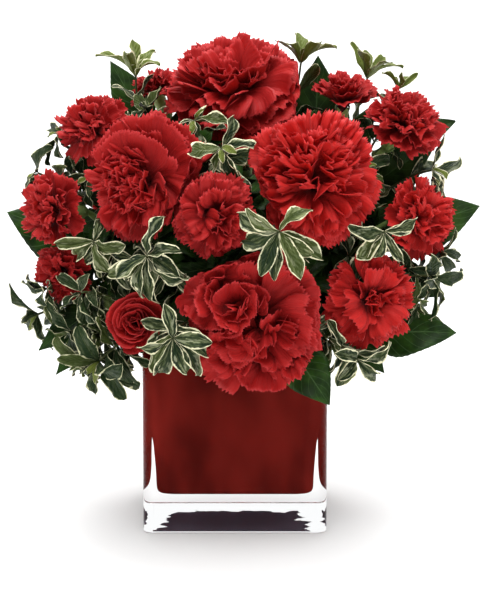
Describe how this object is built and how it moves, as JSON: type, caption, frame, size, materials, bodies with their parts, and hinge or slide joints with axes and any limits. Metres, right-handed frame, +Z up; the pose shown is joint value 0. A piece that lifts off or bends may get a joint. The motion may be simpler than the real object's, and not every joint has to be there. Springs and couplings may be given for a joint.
{
  "type": "carnations in a vase",
  "caption": "Dark red carnations, large and small, with variegated pittosporum and salal leaves in a square clear glass vase with a ruby red inside.",
  "frame": {"origin": "middle of the vase's flat underside", "axes": "+Z up, -Y towards the front of the arrangement, +X to its right as seen from the front"},
  "size_m": [0.313, 0.2624, 0.3232],
  "materials": {
    "clear_glass": "clear, polished, thick soda glass",
    "ruby_glass": "glossy translucent ruby red layer",
    "water": "clear still water",
    "red_petals": "velvety matte petals, paler on their backs",
    "green_stem": "smooth waxy green stem and calyx",
    "cream_edged_leaf": "grey-green leaf with a wavy cream margin",
    "dark_green_leaf": "leathery dark green leaf, half glossy"
  },
  "bodies": {
    "root": {"vase_glass": "clear_glass", "ruby_lining": "ruby_glass", "water": "water", "carnation_top": "red_petals", "carnation_left": "red_petals", "carnation_right": "red_petals", "carnation_front": "red_petals", "carnation_back": "red_petals", "small_upper_left": "red_petals", "small_left": "red_petals", "small_lower_left": "red_petals", "small_centre": "red_petals", "small_upright": "red_petals", "small_upper_right": "red_petals", "small_right": "red_petals", "small_lower_right": "red_petals", "small_bud": "red_petals", "small_top_left": "red_petals", "small_back_left": "red_petals", "small_back_right": "red_petals", "small_back_low": "red_petals", "stem_top": "green_stem", "stem_left": "green_stem", "stem_right": "green_stem", "stem_front": "green_stem", "stem_back": "green_stem", "stem_upper_left": "green_stem", "stem_side_left": "green_stem", "stem_centre": "green_stem", "stem_upper_right": "green_stem", "stem_side_right": "green_stem", "stem_bud": "green_stem", "stem_back_left": "green_stem", "stem_back_right": "green_stem", "pitto_top_left": "cream_edged_leaf", "pitto_left_high": "cream_edged_leaf", "pitto_mid_high": "cream_edged_leaf", "pitto_centre": "cream_edged_leaf", "pitto_rosette": "cream_edged_leaf", "pitto_front_left": "cream_edged_leaf", "pitto_left_mid": "cream_edged_leaf", "pitto_low_front": "cream_edged_leaf", "pitto_left_low": "cream_edged_leaf", "pitto_far_left": "cream_edged_leaf", "pitto_hanging": "cream_edged_leaf", "pitto_top_right": "cream_edged_leaf", "pitto_right_high": "cream_edged_leaf", "pitto_right": "cream_edged_leaf", "pitto_right_mid": "cream_edged_leaf", "pitto_right_low": "cream_edged_leaf", "pitto_low_right": "cream_edged_leaf", "pitto_back_left": "cream_edged_leaf", "pitto_back_right": "cream_edged_leaf", "pitto_back_high": "cream_edged_leaf", "salal_left": "dark_green_leaf", "salal_top": "dark_green_leaf", "salal_upper_right": "dark_green_leaf", "salal_right": "dark_green_leaf", "salal_low_right": "dark_green_leaf", "salal_hanging": "dark_green_leaf"}
  },
  "joints": []
}
